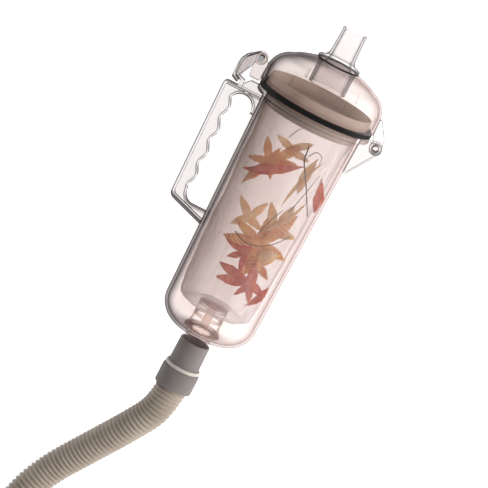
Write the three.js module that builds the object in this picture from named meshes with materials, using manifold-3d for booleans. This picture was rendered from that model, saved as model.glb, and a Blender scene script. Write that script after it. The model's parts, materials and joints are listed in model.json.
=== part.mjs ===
// In-line leaf canister for the suction hose of a pool cleaner, lying on its side with a metre of hose.
// Units are millimetres and +Z is up. The canister's own frame has its axis along Z, from the outside of its floor
// towards the inlet, with the hinge on +X and the handle on -X; one group lays it on its side at the end.
import * as THREE from "three";
import { mergeVertices } from "three/addons/utils/BufferGeometryUtils.js";
import Module from "manifold-3d";

const wasm = await Module();
wasm.setup();

// Gaps and roundness
const gap = 0.3;
const bigSides = 36;
const midSides = 24;
const smallSides = 16;

// Clear body
const footRadius = 75;
const topRadius = 80.5;
const cornerRadius = 40;
const bodyWall = 4;
const lipUnder = 372;
const lipRadius = 92;
const lipTop = 384;
const lipEdge = 377;
const mouthRadius = 76.5;
const outletRadius = 19;
const outletBore = 16;
const outletLength = 52;

// Domed lid
const lidWall = 3.5;
const lidRadius = 94.5;
const lidUnder = 392.5;
const lidFlangeTop = 397.5;
const lidFlangeBore = 86.5;
const shoulderRadius = 34;
const shoulderCentre = 59.5;
const shoulderHeight = 413;
const shoulderSweep = 72;
const crownHeight = 459.5;
const crownHole = 30.4;
const crownRim = 34;

// Inlet spigot
const inletTip = 516;
const inletRadius = 19;
const inletBore = 16.2;
const collarRadius = 30;
const collarBore = 26.5;
const collarFoot = 422;
const collarFlange = 461.7;

// Bag, the ring that it hangs from, and the band that holds it
const ringRadius = 83;
const ringTop = 408;
const ringSkirt = 72.5;
const ringSkirtFoot = 364;
const bagRadius = 74;
const bagWall = 1.2;
const bagFloor = 54;
const bandRadius = 75.9;

// Hinge and latch pivots, across and along the axis
const hingeAt = [106, 375];
const hingeBoss = 10;
const hingePin = 4.5;
const latchAt = [106, 418];
const latchBoss = 9.6;
const latchPin = 3;
const lugHalf = 6;
const earInside = 6.6;
const earOutside = 12;
const cheekInside = 6.6;
const cheekOutside = 10.5;

// Handle
const gripMiddle = 37.5;
const gripWave = 3;
const gripPitch = 38.3;
const gripCrest = 215;
const railHalf = 11;
const rimHalf = 8;
const webHalf = 2.5;

// Hose and its cuffs
const hoseRadius = 25;
const hoseWall = 1.4;
const cuffMouth = -15.3;
const cuffFoot = -95;
const cuffSocket = -67;
const cuffRadius = 24;
const cuffSocketRadius = 30;
const hoseSides = 12;
const hoseSteps = 34;

function point(x, y) {
  return new THREE.Vector2(x, y);
}

// Radius of the clear body's drafted side at a height on its axis
function bodyRadius(z) {
  const share = (z - cornerRadius) / (lipUnder - cornerRadius);
  return footRadius + share * (topRadius - footRadius);
}

// Points of an arc, both ends included, with angles in degrees
function arc(x, y, radius, from, to, steps) {
  const points = [];
  for (let i = 0; i <= steps; i += 1) {
    const angle = THREE.MathUtils.degToRad(from + ((to - from) * i) / steps);
    points.push(point(x + radius * Math.cos(angle), y + radius * Math.sin(angle)));
  }
  return points;
}

// A closed solid as manifold-3d holds it, turned so that its faces point out
function solid(geometry) {
  geometry.deleteAttribute("normal");
  geometry.deleteAttribute("uv");
  const merged = mergeVertices(geometry, 1e-4);
  const places = merged.attributes.position.array;
  const corners = Uint32Array.from(merged.index.array);
  const a = new THREE.Vector3();
  const b = new THREE.Vector3();
  const c = new THREE.Vector3();
  let volume = 0;
  for (let i = 0; i < corners.length; i += 3) {
    a.fromArray(places, corners[i] * 3);
    b.fromArray(places, corners[i + 1] * 3);
    c.fromArray(places, corners[i + 2] * 3);
    volume += a.dot(b.cross(c));
  }
  const triVerts = volume > 0 ? corners : corners.reverse();
  return new wasm.Manifold(new wasm.Mesh({ numProp: 3, vertProperties: Float32Array.from(places), triVerts }));
}

// A ring or tube around Z from a closed outline of radius and height, with a flat of it under and over
function turned(outline, sides) {
  const closed = [...outline, outline[0].clone()];
  const geometry = new THREE.LatheGeometry(closed, sides, Math.PI / sides);
  return solid(geometry.rotateX(Math.PI / 2));
}

// A plate standing in the XZ plane between two values of Y, turned about Z by an angle in degrees
function plate(outline, yLow, yHigh, turn = 0) {
  const shape = new THREE.Shape(outline);
  const geometry = new THREE.ExtrudeGeometry(shape, { depth: yHigh - yLow, bevelEnabled: false });
  geometry.rotateX(Math.PI / 2);
  geometry.translate(0, yHigh, 0);
  return solid(geometry.rotateZ(THREE.MathUtils.degToRad(turn)));
}

// A round bar along Y through a point of the XZ plane, turned about Z by an angle in degrees
function bar(radius, yLow, yHigh, [x, z], turn = 0) {
  const geometry = new THREE.CylinderGeometry(radius, radius, yHigh - yLow, smallSides);
  geometry.translate(x, (yLow + yHigh) / 2, z);
  return solid(geometry.rotateZ(THREE.MathUtils.degToRad(turn)));
}

// Several solids joined into one
function joined(parts) {
  return parts.reduce((whole, part) => whole.add(part));
}

function piece(name, body, color, roughness, metalness = 0) {
  const { vertProperties, triVerts } = body.getMesh();
  const geometry = new THREE.BufferGeometry();
  geometry.setAttribute("position", new THREE.BufferAttribute(vertProperties, 3));
  geometry.setIndex(new THREE.BufferAttribute(triVerts, 1));
  const mesh = new THREE.Mesh(geometry, new THREE.MeshStandardMaterial({ color, roughness, metalness }));
  mesh.name = name;
  return mesh;
}

const clear = 0xd8ccc8;
const taupe = 0x8f8378;
const hoseTaupe = 0x94887a;
const cuffGrey = 0x9f988e;
const palePlastic = 0xc9c3b8;
const blackRubber = 0x151414;
const meshWhite = 0xdcd2d4;
const steel = 0x9a9a9a;

// The side of the body from the outside of its floor to the top of its lip, grown outwards by a distance
function bodySide(grow) {
  return [
    ...arc(footRadius - cornerRadius, cornerRadius, cornerRadius + grow, -90, 0, 6),
    point(topRadius + grow, lipUnder),
    point(lipRadius + grow, lipEdge),
    point(lipRadius + grow, lipTop + grow),
  ];
}

function canisterBody() {
  const floorEdge = footRadius - cornerRadius;
  const shell = turned([
    point(outletBore, -outletLength),
    point(outletRadius, -outletLength),
    point(outletRadius + 1, -4),
    ...arc(outletRadius + 5, -4, 4, 180, 90, 2),
    ...bodySide(0),
    point(mouthRadius, lipTop),
    point(mouthRadius - 0.3, lipUnder),
    ...arc(floorEdge, cornerRadius, cornerRadius - bodyWall, 0, -90, 5),
    point(outletBore, bodyWall),
  ], bigSides);
  const [x, z] = hingeAt;
  const ear = [
    point(78, 378),
    point(x, z + hingeBoss),
    ...arc(x, z, hingeBoss, 75, -45, 6),
    point(84, 322),
    point(76.5, 322),
  ];
  const ears = [
    plate(ear, earInside, earOutside),
    plate(ear, -earOutside, -earInside),
  ];
  const bore = bar(hingePin + 0.4, -20, 20, hingeAt);
  const inside = turned([
    point(20, 100),
    point(mouthRadius - 0.6, 100),
    point(mouthRadius - 0.6, lipTop + 1),
    point(20, lipTop + 1),
  ], bigSides);
  return joined([shell, joined(ears).subtract(inside).subtract(bore)]);
}

// Everything that the handle and the hinge stay clear of: the outside of the body, a little grown
function bodyKeepOut() {
  return turned([point(20, -gap), ...bodySide(gap), point(20, lipTop + gap)], bigSides);
}

function handle() {
  const slope = 18;
  const tangent = Math.tan(THREE.MathUtils.degToRad(slope));
  const cosine = Math.cos(THREE.MathUtils.degToRad(slope));
  const inBody = 60;
  const heel = [125.2, 181];
  const heelRadius = 12;
  const armTop = 366;
  const outer = (inset) => [
    point(inBody, armTop - inset),
    ...arc(topRadius + 54, armTop - 6, 6 - inset, 90, 0, 3),
    ...arc(heel[0], heel[1], heelRadius - inset, 0, slope - 90, 4),
    point(inBody, heel[1] - heelRadius / cosine - (heel[0] - inBody) * tangent + inset / cosine),
  ];
  const grip = (grow) => {
    const points = [];
    for (let z = 339; z >= 196; z -= 5.5) {
      const wave = Math.cos((2 * Math.PI * (z - gripCrest)) / gripPitch);
      points.push(point(bodyRadius(z) + gripMiddle - gripWave * wave + grow, z));
    }
    return points;
  };
  const opening = (grow) => [
    point(inBody, 331 + grow),
    ...arc(102.5, 340, 18 + grow, 190, 14, 9),
    ...grip(grow),
    ...arc(99, 190, 17.5 + grow, 0, -90, 4),
    point(inBody, 173 - grow),
  ];
  const [x, z] = latchAt;
  const hook = [
    ...arc(x, z, 45.2, -63.5, -73, 2),
    point(119.2, 364),
    point(112.5, 364),
    ...arc(x, z, 41.2, -80, -63.5, 2),
  ];
  const seat = [
    point(inBody, 364),
    point(112.5, 364),
    point(112.5, 372),
    point(104, 381),
    point(inBody, 381),
  ];
  const rail = plate(outer(0), -railHalf, railHalf, 180);
  return joined([
    plate(outer(0), -webHalf, webHalf, 180),
    rail.subtract(plate(outer(4.5), -railHalf - 1, railHalf + 1, 180)),
    plate(opening(4), -rimHalf, rimHalf, 180).intersect(rail),
    plate(hook, -lugHalf, lugHalf, 180),
    plate(seat, -lugHalf, lugHalf, 180),
  ]).subtract(plate(opening(0), -railHalf - 1, railHalf + 1, 180)).subtract(bodyKeepOut());
}

function domeLid() {
  const under = shoulderRadius - lidWall;
  const shell = turned([
    point(lidFlangeBore, lidUnder),
    point(lidRadius, lidUnder),
    point(lidRadius, lidFlangeTop),
    ...arc(shoulderCentre, shoulderHeight, shoulderRadius, 0, shoulderSweep, 6),
    point(52, 453.5),
    point(crownRim, crownHeight),
    point(crownHole, crownHeight),
    point(crownHole, crownHeight - lidWall),
    point(51, 450),
    ...arc(shoulderCentre, shoulderHeight, under, shoulderSweep, 0, 5),
    point(shoulderCentre + under, lidFlangeTop),
    point(lidFlangeBore, lidFlangeTop),
  ], bigSides);
  const rib = [
    point(84.5, 411.5),
    point(91.3, 411.5),
    point(91.3, 417),
    point(87, 429),
    point(84.5, 431.5),
  ];
  const ribs = [];
  for (let i = 0; i < 6; i += 1) ribs.push(plate(rib, -1.5, 1.5, -66 + 60 * i));
  const hingeLug = [
    point(92, 417),
    point(92, 394),
    point(97, 386),
    ...arc(hingeAt[0], hingeAt[1], hingeBoss, 150, 380, 10),
    point(112, 393),
    point(96, 417),
  ];
  const latchLug = [
    point(91, 393.5),
    point(95, 386),
    point(110, 386),
    point(112.5, 402),
    ...arc(latchAt[0], latchAt[1], 7.5, 0, 140, 5),
    point(91, 413),
  ];
  return joined([
    shell,
    ...ribs,
    plate(hingeLug, -lugHalf, lugHalf).subtract(bar(hingePin + 0.4, -20, 20, hingeAt)),
    plate(latchLug, -lugHalf, lugHalf, 180).subtract(bar(latchPin + 0.4, -20, 20, latchAt, 180)),
  ]);
}

function inletSpigot() {
  return turned([
    point(inletBore, inletTip),
    point(inletBore + 0.8, 470),
    point(collarBore, 455),
    point(collarBore, collarFoot),
    point(collarRadius, collarFoot),
    point(collarRadius, collarFlange),
    point(crownRim, collarFlange),
    point(crownRim, collarFlange + 2.6),
    ...arc(crownRim - 1, 478, 12.5, 270, 180, 4),
    point(inletRadius, inletTip),
  ], midSides);
}

function latchLever() {
  const [x, z] = latchAt;
  const corner = [133, 402];
  const cheek = [
    ...arc(x, z, latchBoss, 62, 300, 9),
    point(114, 400),
    point(124, 381),
    point(131.5, 380),
    point(corner[0], corner[1]),
    point(128, 412),
  ];
  const back = [
    ...arc(x, z, latchBoss, 62, 50, 1),
    point(128, 413.5),
    point(corner[0], corner[1] + 2.5),
    point(corner[0] + 0.6, corner[1] - 3),
    ...arc(x, z, 50.5, -57, -70.5, 2),
    ...arc(x, z, 45.7, -70.5, -60, 2),
    point(129, corner[1] - 2.5),
    point(125.5, 410),
    point(x + 6.5, z + 5.4),
  ];
  const pocket = plate(arc(x, z, 8.2, 0, 360, smallSides).slice(1), -cheekInside, cheekInside, 180);
  return joined([
    plate(cheek, cheekInside, cheekOutside, 180),
    plate(cheek, -cheekOutside, -cheekInside, 180),
    plate(back, -cheekOutside, cheekOutside, 180).subtract(pocket),
  ]).subtract(bar(latchPin + 0.4, -20, 20, latchAt, 180));
}

// A headed pin through a lug, with a push-on cap on its plain end
function headedPin(radius, reach, at, turn) {
  return joined([
    bar(radius, -reach - 3.5, reach + 0.5, at, turn),
    bar(radius * 1.5, reach + 0.4, reach + 3, at, turn),
  ]);
}

function pinCap(radius, reach, at, turn) {
  return bar(radius * 1.5, -reach - 3, -reach - 0.5, at, turn).subtract(bar(radius + 0.35, -40, 40, at, turn));
}

function lidSeal() {
  return turned(arc(88.2, 388.3, 3.9, 22.5, 337.5, 7), bigSides);
}

function spigotSeal() {
  const foot = crownHeight + gap;
  const top = collarFlange - gap;
  return turned([
    point(collarRadius + 0.6, foot),
    point(crownRim - 0.2, foot),
    point(crownRim - 0.2, top),
    point(collarRadius + 0.6, top),
  ], midSides);
}

function bagRing() {
  return turned([
    point(ringSkirt - 2.5, ringSkirtFoot),
    point(ringSkirt, ringSkirtFoot),
    point(ringSkirt, lipTop + gap),
    point(ringRadius, lipTop + gap),
    point(ringRadius, ringTop),
    point(ringRadius - 3, ringTop),
    point(ringRadius - 3, lipTop + 3.5),
    point(ringSkirt - 2.5, lipTop + 3.5),
  ], bigSides);
}

function bagBand() {
  return turned([
    point(bagRadius + 0.3, 368),
    point(bandRadius, 368),
    point(bandRadius, 378),
    point(bagRadius + 0.3, 378),
  ], bigSides);
}

function meshBag() {
  const side = [[26, bagFloor], [40, 46], [53, 43.5], [61, 50], [65.5, 80], [72, 346], [bagRadius, 362]];
  const outside = side.map(([r, z]) => point(r, z));
  const inside = side.map(([r, z]) => point(r - bagWall, z + (z < 60 ? bagWall : 0))).reverse();
  const floor = [point(2, bagFloor + bagWall), point(2, bagFloor)];
  return turned([...floor, ...outside, point(bagRadius, 382), point(bagRadius - bagWall, 382), ...inside], bigSides);
}

function outletCage() {
  const foot = bodyWall + gap;
  const shell = turned([
    point(17, foot),
    point(29, foot),
    point(29, foot + 3),
    point(23.5, foot + 3),
    point(23.5, 50),
    point(6, 50),
    point(6, 47),
    point(20.5, 47),
    point(20.5, foot + 3),
    point(17, foot + 3),
  ], midSides);
  const windows = [];
  for (const turn of [45, 135]) {
    for (const [low, high] of [[11, 26.5], [30.5, 44]]) {
      windows.push(solid(new THREE.BoxGeometry(80, 23, high - low)
        .translate(0, 0, (low + high) / 2)
        .rotateZ(THREE.MathUtils.degToRad(turn))));
    }
  }
  const gusset = [point(22, 7), point(28.5, 7), point(24, 17), point(22, 17)];
  const gussets = [];
  for (let i = 0; i < 4; i += 1) gussets.push(plate(gusset, -1.5, 1.5, 90 * i));
  return joined([shell.subtract(joined(windows)), ...gussets]);
}

// A cuff around Z: a narrow sleeve over the pipe, a groove for its ring, and a socket for the hose below
function cuff() {
  return turned([
    point(outletRadius + 1.4, cuffMouth),
    point(cuffRadius, cuffMouth),
    point(cuffRadius + 0.8, -55.5),
    point(cuffRadius + 1.2, -56),
    point(cuffRadius + 1.2, -62),
    point(cuffSocketRadius, -63.5),
    point(cuffSocketRadius, cuffFoot),
    point(hoseRadius + 0.9, cuffFoot),
    point(hoseRadius + 0.9, cuffSocket),
    point(outletRadius + 1.4, cuffSocket + 2),
  ], midSides);
}

function cuffRing() {
  return turned([
    point(cuffRadius + 1.6, -61.8),
    point(cuffRadius + 4, -61.8),
    point(cuffRadius + 4.5, -59),
    point(cuffRadius + 4, -56.3),
    point(cuffRadius + 1.6, -56.3),
  ], midSides);
}

// The hose's centre line in the part's own frame: straight out of the cuff, a bend to the left on the way down to
// the floor, and round in one wide bend the other way to the cuff at its far end. Turns are 1 / radius of bend.
const cuffExit = [12.3, -299.0, 68.7];
const slantStart = [12.26, -326.5, 67.17];
const slantLength = 262;
const slantSlope = -Math.tan(THREE.MathUtils.degToRad(3.156));
const floorHeight = 25.4;
const farCuffHeight = 30.3;
const wideBend = 225;
const routeLength = 972.5;
const farStraight = 30;
const farRise = 150;
const stopSpacing = 48.6;

function turnAt(along) {
  if (along < 74) return -1 / 140;
  if (along < 168) return -1 / 3000;
  if (along < 215) return 0;
  if (along < 275) return (along - 215) / 60 / wideBend;
  return along < routeLength - farStraight ? 1 / wideBend : 0;
}

function heightAt(along) {
  if (along < slantLength) {
    const t = along / slantLength;
    return (2 * t ** 3 - 3 * t ** 2 + 1) * slantStart[2] + (t ** 3 - 2 * t ** 2 + t) * slantLength * slantSlope
      + (3 * t ** 2 - 2 * t ** 3) * floorHeight;
  }
  const t = Math.min(1, Math.max(0, (along - routeLength + farStraight + farRise) / farRise));
  return floorHeight + (3 * t ** 2 - 2 * t ** 3) * 5.2;
}

function hoseStops() {
  const [x0, y0, z0] = cuffExit;
  const stops = [[x0, y0, z0], [x0, y0 - 14, z0 - 0.8], [x0, y0 - 28, z0 - 1.6]];
  const wanted = Array.from({ length: 19 }, (_, i) => stopSpacing * (i + 1));
  wanted.push(routeLength - farStraight, routeLength);
  let [x, y] = slantStart;
  let heading = -Math.PI / 2;
  const stride = 0.5;
  for (let along = 0; along <= routeLength; along += stride) {
    if (along >= wanted[0]) {
      wanted.shift();
      stops.push([x, y, wanted.length < 2 ? farCuffHeight : heightAt(along)]);
    }
    const drop = heightAt(along + stride) - heightAt(along);
    const level = Math.sqrt(stride ** 2 - drop ** 2);
    heading += turnAt(along) * stride;
    x += level * Math.cos(heading);
    y += level * Math.sin(heading);
  }
  return stops.map((stop) => new THREE.Vector3(...stop.map((value) => Number(value.toFixed(1)))));
}

const hoseRoute = hoseStops();

function hose(route) {
  const section = new THREE.Shape(arc(0, 0, hoseRadius, 0, 360, hoseSides).slice(1));
  section.holes.push(new THREE.Path(arc(0, 0, hoseRadius - hoseWall, 0, 360, hoseSides).slice(1)));
  const path = new THREE.CatmullRomCurve3(route, false, "centripetal");
  return solid(new THREE.ExtrudeGeometry(section, { steps: hoseSteps, extrudePath: path, bevelEnabled: false }));
}

const canister = new THREE.Group();
canister.add(
  piece("canister_body", canisterBody(), clear, 0.12),
  piece("handle", handle(), clear, 0.12),
  piece("dome_lid", domeLid(), clear, 0.1),
  piece("inlet_spigot", inletSpigot(), clear, 0.1),
  piece("spigot_seal", spigotSeal(), blackRubber, 0.6),
  piece("lid_seal", lidSeal(), blackRubber, 0.5),
  piece("bag_ring", bagRing(), taupe, 0.45),
  piece("bag_band", bagBand(), palePlastic, 0.45),
  piece("mesh_bag", meshBag(), meshWhite, 0.9),
  piece("outlet_cage", outletCage(), clear, 0.15),
  piece("hinge_pin", headedPin(hingePin, earOutside, hingeAt, 0), clear, 0.2),
  piece("hinge_pin_cap", pinCap(hingePin, earOutside, hingeAt, 0), steel, 0.3, 0.9),
  piece("latch_lever", latchLever(), clear, 0.12),
  piece("latch_pin", headedPin(latchPin, cheekOutside, latchAt, 180), steel, 0.3, 0.9),
  piece("latch_pin_cap", pinCap(latchPin, cheekOutside, latchAt, 180), steel, 0.3, 0.9),
);

// Laid down, the canister touches the floor with its lid flange and the lower corner of its body
const acrossToFlange = lidRadius - (footRadius - cornerRadius);
const alongToFlange = lidUnder - cornerRadius;
const reachToFlange = Math.hypot(acrossToFlange, alongToFlange);
const tilt = Math.atan2(acrossToFlange, alongToFlange) - Math.asin(cornerRadius / reachToFlange);
canister.rotation.x = tilt - Math.PI / 2;
canister.updateMatrixWorld(true);
const box = new THREE.Box3().setFromObject(canister, true);
canister.position.set(-(box.min.x + box.max.x) / 2, -(box.min.y + box.max.y) / 2, -box.min.z);

canister.add(
  piece("hose_cuff", cuff(), cuffGrey, 0.55),
  piece("cuff_ring", cuffRing(), palePlastic, 0.5),
);

// The far cuff, the same as the near one, pushed on to the hose's end
const farCuff = new THREE.Group();
farCuff.add(
  piece("hose_end_cuff", cuff(), cuffGrey, 0.55),
  piece("end_cuff_ring", cuffRing(), palePlastic, 0.5),
);
const hoseEnd = hoseRoute.at(-1);
const hoseEndHeading = hoseEnd.clone().sub(hoseRoute.at(-2)).normalize();
farCuff.quaternion.setFromUnitVectors(new THREE.Vector3(0, 0, 1), hoseEndHeading);
farCuff.position.copy(hoseEnd).addScaledVector(hoseEndHeading, -cuffSocket + 0.5);

const leafCanister = new THREE.Group();
leafCanister.add(canister, farCuff, piece("hose", hose(hoseRoute), hoseTaupe, 0.6));

export default leafCanister;
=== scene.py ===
import json
import math

import bmesh
import bpy
from mathutils import Matrix, Vector, noise


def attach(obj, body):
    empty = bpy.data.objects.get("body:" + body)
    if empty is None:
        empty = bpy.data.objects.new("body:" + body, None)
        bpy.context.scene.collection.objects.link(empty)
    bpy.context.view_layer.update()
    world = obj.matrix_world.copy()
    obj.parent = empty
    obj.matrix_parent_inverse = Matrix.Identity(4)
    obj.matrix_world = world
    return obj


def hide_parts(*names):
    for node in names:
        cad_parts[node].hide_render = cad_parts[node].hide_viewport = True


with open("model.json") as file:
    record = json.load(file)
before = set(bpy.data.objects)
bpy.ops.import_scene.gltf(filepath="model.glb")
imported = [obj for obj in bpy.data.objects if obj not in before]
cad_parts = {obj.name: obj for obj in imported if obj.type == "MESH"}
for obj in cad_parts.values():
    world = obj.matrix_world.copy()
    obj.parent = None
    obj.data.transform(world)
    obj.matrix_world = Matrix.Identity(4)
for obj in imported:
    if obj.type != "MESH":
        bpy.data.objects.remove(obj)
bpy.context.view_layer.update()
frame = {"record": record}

# Sizes are in millimetres in the canister's own frame: Z runs along its axis from the outside of its floor
# to the inlet's tip, X points at the lid hinge and -X at the handle. The matrix below takes them to metres in
# the part's frame.
MM = 0.001
INLET_TIP = 516
INLET_FACE_RADIUS = 17.6

mounts = {mount["name"]: mount for mount in frame["record"]["mounts"]}
across = Vector((1, 0, 0))
axis = Vector(mounts["inlet_port"]["axis"]).normalized()
inlet_point = Vector(mounts["inlet_port"]["pos_m"])
canister_origin = inlet_point - across * INLET_FACE_RADIUS * MM - axis * INLET_TIP * MM
canister_turn = Matrix((across, axis.cross(across), axis)).transposed().to_4x4()
canister = Matrix.Translation(canister_origin) @ canister_turn @ Matrix.Scale(MM, 4)

# Clear body
FOOT_RADIUS = 75
TOP_RADIUS = 80.5
CORNER_RADIUS = 40
BODY_WALL = 4
LIP_UNDER = 372
LIP_EDGE = 377
LIP_TOP = 384
LIP_RADIUS = 92
MOUTH_RADIUS = 76.5
OUTLET_RADIUS = 19
OUTLET_BORE = 16
OUTLET_LENGTH = 52

# Domed lid
LID_WALL = 3.5
LID_RADIUS = 94.5
LID_UNDER = 392.5
LID_FLANGE_TOP = 397.5
LID_FLANGE_BORE = 86.5
SHOULDER = (59.5, 413, 34)
SHOULDER_SWEEP = 72
CROWN_HEIGHT = 459.5
CROWN_HOLE = 30.4
CROWN_RIM = 34

# Inlet spigot
INLET_RADIUS = 19
INLET_BORE = 16.2
COLLAR_RADIUS = 30
COLLAR_BORE = 26.5
COLLAR_FOOT = 422
COLLAR_FLANGE = 461.7

# Hinge, latch and handle
HINGE_AT = (106, 375)
HINGE_BOSS = 10
HINGE_PIN = 4.5
LATCH_AT = (106, 418)
LATCH_BOSS = 9.6
LATCH_PIN = 3
LUG_HALF = 6
EAR_INSIDE, EAR_OUTSIDE = 6.6, 12
CHEEK_INSIDE, CHEEK_OUTSIDE = 6.6, 10.5
GRIP_MIDDLE = 37.5
GRIP_WAVE = 3
GRIP_PITCH = 38.3
GRIP_CREST = 215
RAIL_HALF, RIM_HALF, WEB_HALF = 11, 8, 2.5

# Bag and ring
RING_RADIUS = 83
RING_TOP = 408
RING_SKIRT = 72.5
RING_SKIRT_FOOT = 364
BAG_TOP = 381
BAG_RADIUS = 74
BAND_RADIUS = 75.9

# Hose
HOSE_DIAMETER = 0.050
HOSE_PITCH = 0.0074
CUFF_EXIT = (12.3, -299.0, 68.7)
SLANT_START = (12.26, -326.5, 67.17)
SLANT_LENGTH = 262
SLANT_SLOPE = -math.tan(math.radians(3.156))
FLOOR_HEIGHT = 25.4
FAR_CUFF_HEIGHT = 30.3
WIDE_BEND = 225
ROUTE_LENGTH = 972.5
FAR_STRAIGHT = 30
FAR_RISE = 150
STOP_SPACING = 48.6
FIRST_BEND = 140
RISE_TO_CUFF = 5.2
FAR_CUFF_REACH = 67.5
RIB_DEPTH = 0.0038
STEPS_PER_RIB = 8

SMOOTH_BELOW = 32


# ---------------------------------------------------------------- the hose's route

# In millimetres of the part's frame: straight out of the cuff, a bend on the way down to the floor, and round
# in one wide bend the other way to the cuff at its far end.

def turn_at(along):
    """How much the route turns per millimetre, which is 1 / radius of bend, at a distance along it."""
    if along < 74:
        return -1 / FIRST_BEND
    if along < 168:
        return -1 / 3000
    if along < 215:
        return 0
    if along < 275:
        return (along - 215) / 60 / WIDE_BEND
    return 1 / WIDE_BEND if along < ROUTE_LENGTH - FAR_STRAIGHT else 0


def height_at(along):
    """The route's height: down a slope to the floor, and up a little to the far cuff."""
    if along < SLANT_LENGTH:
        t = along / SLANT_LENGTH
        leaving = (t ** 3 - 2 * t ** 2 + t) * SLANT_LENGTH * SLANT_SLOPE
        arriving = (3 * t ** 2 - 2 * t ** 3) * FLOOR_HEIGHT
        return (2 * t ** 3 - 3 * t ** 2 + 1) * SLANT_START[2] + leaving + arriving
    t = min(1, max(0, (along - ROUTE_LENGTH + FAR_STRAIGHT + FAR_RISE) / FAR_RISE))
    return FLOOR_HEIGHT + (3 * t ** 2 - 2 * t ** 3) * RISE_TO_CUFF


def hose_stops():
    """Points along the hose's centre line, about STOP_SPACING apart, to a tenth of a millimetre."""
    x, y, z = CUFF_EXIT
    stops = [(x, y, z), (x, y - 14, z - 0.8), (x, y - 28, z - 1.6)]
    wanted = [STOP_SPACING * i for i in range(1, 20)] + [ROUTE_LENGTH - FAR_STRAIGHT, ROUTE_LENGTH]
    x, y, _ = SLANT_START
    heading = -math.pi / 2
    stride = 0.5
    along = 0.0
    while along <= ROUTE_LENGTH:
        if wanted and along >= wanted[0]:
            wanted.pop(0)
            stops.append((x, y, FAR_CUFF_HEIGHT if len(wanted) < 2 else height_at(along)))
        drop = height_at(along + stride) - height_at(along)
        level = math.sqrt(stride ** 2 - drop ** 2)
        heading += turn_at(along) * stride
        x += level * math.cos(heading)
        y += level * math.sin(heading)
        along += stride
    return [tuple(round(value, 1) for value in stop) for stop in stops]


HOSE_ROUTE = hose_stops()


# ---------------------------------------------------------------- outlines

def arc(x, y, radius, start, end, steps):
    """Points of an arc, both ends included, with angles in degrees."""
    points = []
    for i in range(steps + 1):
        angle = math.radians(start + (end - start) * i / steps)
        points.append((x + radius * math.cos(angle), y + radius * math.sin(angle)))
    return points


def eased(outline, cut, steps=3):
    """A closed outline with its sharp corners rounded over a distance of about cut each way."""
    if not cut:
        return list(outline)
    points = []
    for i, here in enumerate(outline):
        before = Vector(outline[i - 1])
        here = Vector(here)
        after = Vector(outline[(i + 1) % len(outline)])
        into, out = here - before, after - here
        if into.length < 1e-6 or out.length < 1e-6 or into.angle(out) < math.radians(20):
            points.append(tuple(here))
            continue
        reach = min(cut, 0.45 * into.length, 0.45 * out.length)
        start, end = here - into.normalized() * reach, here + out.normalized() * reach
        for step in range(steps + 1):
            t = step / steps
            points.append(tuple(start * (1 - t) ** 2 + here * 2 * t * (1 - t) + end * t ** 2))
    return points


def body_radius(z):
    share = (z - CORNER_RADIUS) / (LIP_UNDER - CORNER_RADIUS)
    return FOOT_RADIUS + share * (TOP_RADIUS - FOOT_RADIUS)


# ---------------------------------------------------------------- solids

def finished(name, mesh, sharp=SMOOTH_BELOW):
    """A new object from a mesh in place, smooth but for edges over an angle in degrees."""
    mesh.validate()
    mesh.shade_smooth()
    mesh.set_sharp_from_angle(angle=math.radians(sharp))
    piece = bpy.data.objects.new(name, mesh)
    bpy.context.scene.collection.objects.link(piece)
    return piece


def from_points(name, points, faces, place=canister, sharp=SMOOTH_BELOW):
    """An object from points in millimetres and faces, with the faces turned to point out."""
    mesh = bpy.data.meshes.new(name)
    mesh.from_pydata([place @ Vector(p) for p in points], [], faces)
    shape = bmesh.new()
    shape.from_mesh(mesh)
    bmesh.ops.recalc_face_normals(shape, faces=shape.faces)
    shape.to_mesh(mesh)
    shape.free()
    return finished(name, mesh, sharp)


def turned(name, outline, sides=144, cut=1.0, place=canister):
    """A ring around Z from a closed outline of radius and height."""
    ring = eased(outline, cut)
    count = len(ring)
    points = []
    for i in range(sides):
        angle = 2 * math.pi * i / sides
        points += [(r * math.cos(angle), r * math.sin(angle), z) for r, z in ring]
    faces = []
    for i in range(sides):
        here, there = i * count, (i + 1) % sides * count
        for j in range(count):
            k = (j + 1) % count
            faces.append((here + j, here + k, there + k, there + j))
    return from_points(name, points, faces, place)


def plate(name, outline, low, high, bevel=0.7, turn=0):
    """A plate in the XZ plane between two values of Y, with eased edges, turned about Z in degrees."""
    shape = bmesh.new()
    corners = [shape.verts.new((x, low, z)) for x, z in outline]
    face = shape.faces.new(corners)
    raised = bmesh.ops.extrude_face_region(shape, geom=[face])["geom"]
    moved = [v for v in raised if isinstance(v, bmesh.types.BMVert)]
    bmesh.ops.translate(shape, verts=moved, vec=(0, high - low, 0))
    bmesh.ops.recalc_face_normals(shape, faces=shape.faces)
    if bevel:
        rims = [edge for edge in shape.edges if abs(edge.verts[0].co.y - edge.verts[1].co.y) < 1e-6]
        bmesh.ops.bevel(shape, geom=rims, offset=bevel, segments=3, profile=0.5, affect="EDGES")
    mesh = bpy.data.meshes.new(name)
    shape.transform(canister @ Matrix.Rotation(math.radians(turn), 4, "Z"))
    shape.to_mesh(mesh)
    shape.free()
    return finished(name, mesh)


def bar(name, outline, at, turn=0, sides=48):
    """A round part along Y through a point of the XZ plane, from a closed outline of radius and Y."""
    place = canister @ Matrix.Rotation(math.radians(turn), 4, "Z") @ Matrix.Translation((at[0], 0, at[1]))
    return turned(name, outline, sides, 0.5, place @ Matrix.Rotation(math.radians(-90), 4, "X"))


def rod(name, radius, reach, at, turn=0):
    """A plain round cutter along Y."""
    return plate(name, arc(at[0], at[1], radius, 0, 360, 40)[1:], -reach, reach, 0, turn)


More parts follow.
